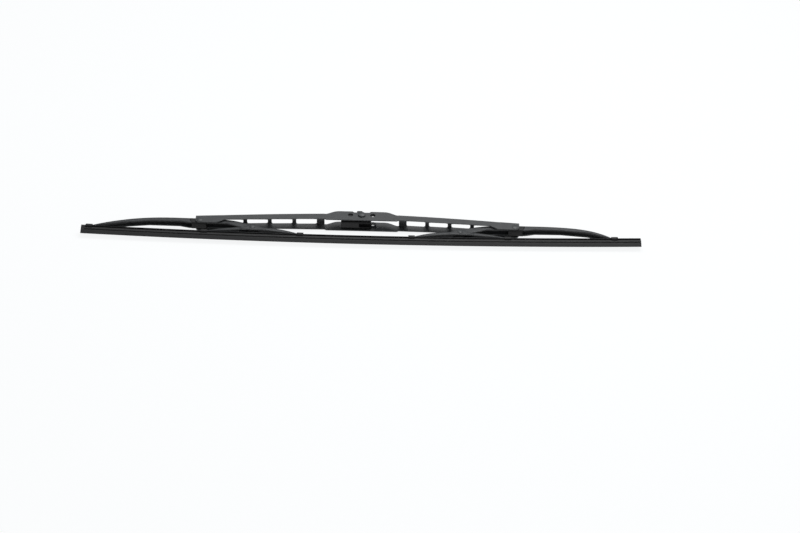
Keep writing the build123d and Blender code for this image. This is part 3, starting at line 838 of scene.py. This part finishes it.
    @staticmethod
    def dress(pieces: list[bpy.types.Object], material: bpy.types.Material, slot: Slot) -> None:
        """Gives pieces a material."""
        for piece in pieces:
            piece.data.materials.append(material)


@dataclass
class SlotLips:
    """Thin lips on the rocker bushes, each of which closes the inner end of its rocker's slot."""

    bow: Bow
    rocker_pivot: dict[Side, float]
    near: float = 4.1 * MM
    far: float = 5.25 * MM
    half_width: float = 3.5 * MM
    low: float = 15.3 * MM
    high: float = 16.2 * MM
    edge: float = 0.2 * MM
    edge_steps: int = 4

    def build(self, material: bpy.types.Material) -> None:
        """Builds a lip on each yoke's inner end, between near and far from the rocker's pivot.

        Args:
            material: the bushes' plastic.
        """
        wide, low, high = self.half_width, self.low, self.high
        corners = np.array([(wide, low), (wide, high), (-wide, high), (-wide, low)])
        outline = rounded(corners, np.full(len(corners), self.edge), self.edge_steps)[::-1]
        for side in Side:
            ends = side.value * (self.rocker_pivot[side] - np.array([self.near, self.far]))
            lip = carried_mesh(f"{side.label}_rocker_bush_lip", self.bow, outline, np.sort(ends))
            lip.data.materials.append(material)
            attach(lip, f"{side.label}_yoke")


@dataclass
class Softbox:
    """A large soft lamp that looks at the blade."""

    name: str
    place: tuple[float, float, float]
    size: tuple[float, float]
    power: float

    def build(self) -> None:
        """Makes the lamp, with its face turned to the hub."""
        lamp = bpy.data.lights.new(self.name, "AREA")
        lamp.shape = "RECTANGLE"
        lamp.size, lamp.size_y = self.size
        lamp.energy = self.power
        in_scene(self.name, lamp).matrix_world = facing(np.array(self.place), HUB)


def facing(place: np.ndarray, target: np.ndarray, roll: float = 0.0) -> Matrix:
    """The matrix of a lamp or camera at a place that looks at a target, with world Z up in its view.

    Args:
        place: where it stands.
        target: what it looks at.
        roll: its turn about its own view, in radians, counter-clockwise as it sees the scene.

    Returns:
        The 4 by 4 matrix.
    """
    back = (place - target) / np.linalg.norm(place - target)
    right = np.cross((0.0, 0.0, 1.0), back)
    right /= np.linalg.norm(right)
    up = np.cross(back, right)
    turned = np.cos(roll) * right + np.sin(roll) * up
    raised = np.cos(roll) * up - np.sin(roll) * right
    matrix = np.eye(4)
    matrix[:3] = np.column_stack([turned, raised, back, place])
    return Matrix(matrix.tolist())


@dataclass
class Viewpoint:
    """The camera: a long lens that looks down on the lip's side of the blade, with angles in degrees."""

    azimuth: float = 0.759
    elevation: float = 36.26
    roll: float = 0.962
    focal_pixels: float = 2600.0
    distance: float = 2613.2 * MM
    aim_right: float = 38.52 * MM
    aim_down: float = 45.96 * MM
    sensor: float = 36.0
    clip: tuple[float, float] = (0.05, 50.0)

    def build(self) -> None:
        """Makes the camera and gives it to the scene.

        It stands back from the hub pin by the distance, and then moves right and down in its own view, so
        that the pin shows left of the picture's middle and above it.
        """
        azimuth, elevation = np.radians(self.azimuth), np.radians(self.elevation)
        back = np.array(
            [
                np.sin(azimuth) * np.cos(elevation),
                -np.cos(azimuth) * np.cos(elevation),
                np.sin(elevation),
            ]
        )
        matrix = facing(back * self.distance, HUB, np.radians(self.roll))
        camera = bpy.data.cameras.new("camera")
        camera.sensor_fit = "HORIZONTAL"
        camera.sensor_width = self.sensor
        camera.lens = self.focal_pixels / IMAGE_WIDTH * self.sensor
        camera.clip_start, camera.clip_end = self.clip
        axes = np.array(matrix)
        axes[:3, 3] += self.aim_right * axes[:3, 0] - self.aim_down * axes[:3, 1]
        holder = in_scene("camera", camera)
        holder.matrix_world = Matrix(axes.tolist())
        bpy.context.scene.camera = holder


@dataclass
class Studio:
    """The white table, the soft lamps and the camera."""

    table: TableTop = TableTop("white_table", (0.86, 0.87, 0.88), (0.985, 0.995, 1.0))
    lamps: tuple[Softbox, ...] = (
        Softbox("back_softbox", (0.30, 0.50, 1.20), (1.3, 0.5), 14.5),
        Softbox("top_softbox", (0.2, 0.05, 1.3), (1.2, 0.9), 4.0),
        Softbox("front_softbox", (0.15, -1.3, 0.45), (1.4, 0.8), 4.2),
    )
    fill_colour: Colour = (0.93, 0.97, 1.0)
    fill_strength: float = 0.36
    table_half: float = 4.0
    table_lines: int = 9
    rest_pin: float = -7.7 * MM
    rest_claw: tuple[float, float] = (-33.0 * MM, -5.07 * MM)
    viewpoint: Viewpoint = field(default_factory=Viewpoint)

    def build_table(self) -> None:
        """Lays the table under the hub pin's head and the claws, so it leans as the blade does on it.

        The surface is z = pin + y (claw - pin) / claw_y over a square grid of x and y.
        """
        line = np.linspace(-self.table_half, self.table_half, self.table_lines)
        x, y = np.meshgrid(line, line)
        claw_y, claw_z = self.rest_claw
        z = self.rest_pin + y * (claw_z - self.rest_pin) / claw_y
        grid = np.arange(x.size).reshape(x.shape)
        corners = [grid[:-1, :-1], grid[:-1, 1:], grid[1:, 1:], grid[1:, :-1]]
        quads = np.stack(corners, axis=-1).reshape(-1, 4)
        mesh = bpy.data.meshes.new("table")
        mesh.from_pydata(np.stack([x, y, z], axis=-1).reshape(-1, 3).tolist(), [], quads.tolist())
        mesh.materials.append(self.table.material())
        table = in_scene("table", mesh)

    def build_world(self) -> None:
        """Fills the room with one even light, which the camera sees as white."""
        world = bpy.data.worlds.new("room")
        world.use_nodes = True
        nodes, links = world.node_tree.nodes, world.node_tree.links
        background = nodes["Background"]
        background.inputs["Color"].default_value = (*self.fill_colour, 1.0)
        background.inputs["Strength"].default_value = self.fill_strength
        seen = nodes.new("ShaderNodeBackground")
        seen.inputs["Color"].default_value = (*self.table.seen_colour, 1.0)
        ray = nodes.new("ShaderNodeLightPath")
        mix = nodes.new("ShaderNodeMixShader")
        links.new(ray.outputs["Is Camera Ray"], mix.inputs[0])
        links.new(background.outputs["Background"], mix.inputs[1])
        links.new(seen.outputs["Background"], mix.inputs[2])
        links.new(mix.outputs["Shader"], nodes["World Output"].inputs["Surface"])
        bpy.context.scene.world = world

    def build(self) -> None:
        """Builds the table, the lamps, the room's light and the camera."""
        self.build_table()
        self.build_world()
        for lamp in self.lamps:
            lamp.build()
        self.viewpoint.build()
        bpy.context.scene.view_settings.view_transform = "Standard"


def main() -> None:
    """Builds the strip, dresses the levers and sets up the studio."""
    logging.basicConfig(level=logging.INFO, format="%(message)s")
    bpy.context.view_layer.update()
    strip, levers = Strip(), LeverFrame()
    strip.build()
    materials = levers.dress(frame["nodes"], set(frame["nodes"]) - STRIP_NODES)
    SlotLips(strip.bow, strip.rocker_pivot).build(materials[levers.bush.name])
    Studio().build()


if __name__ == "__main__":
    main()
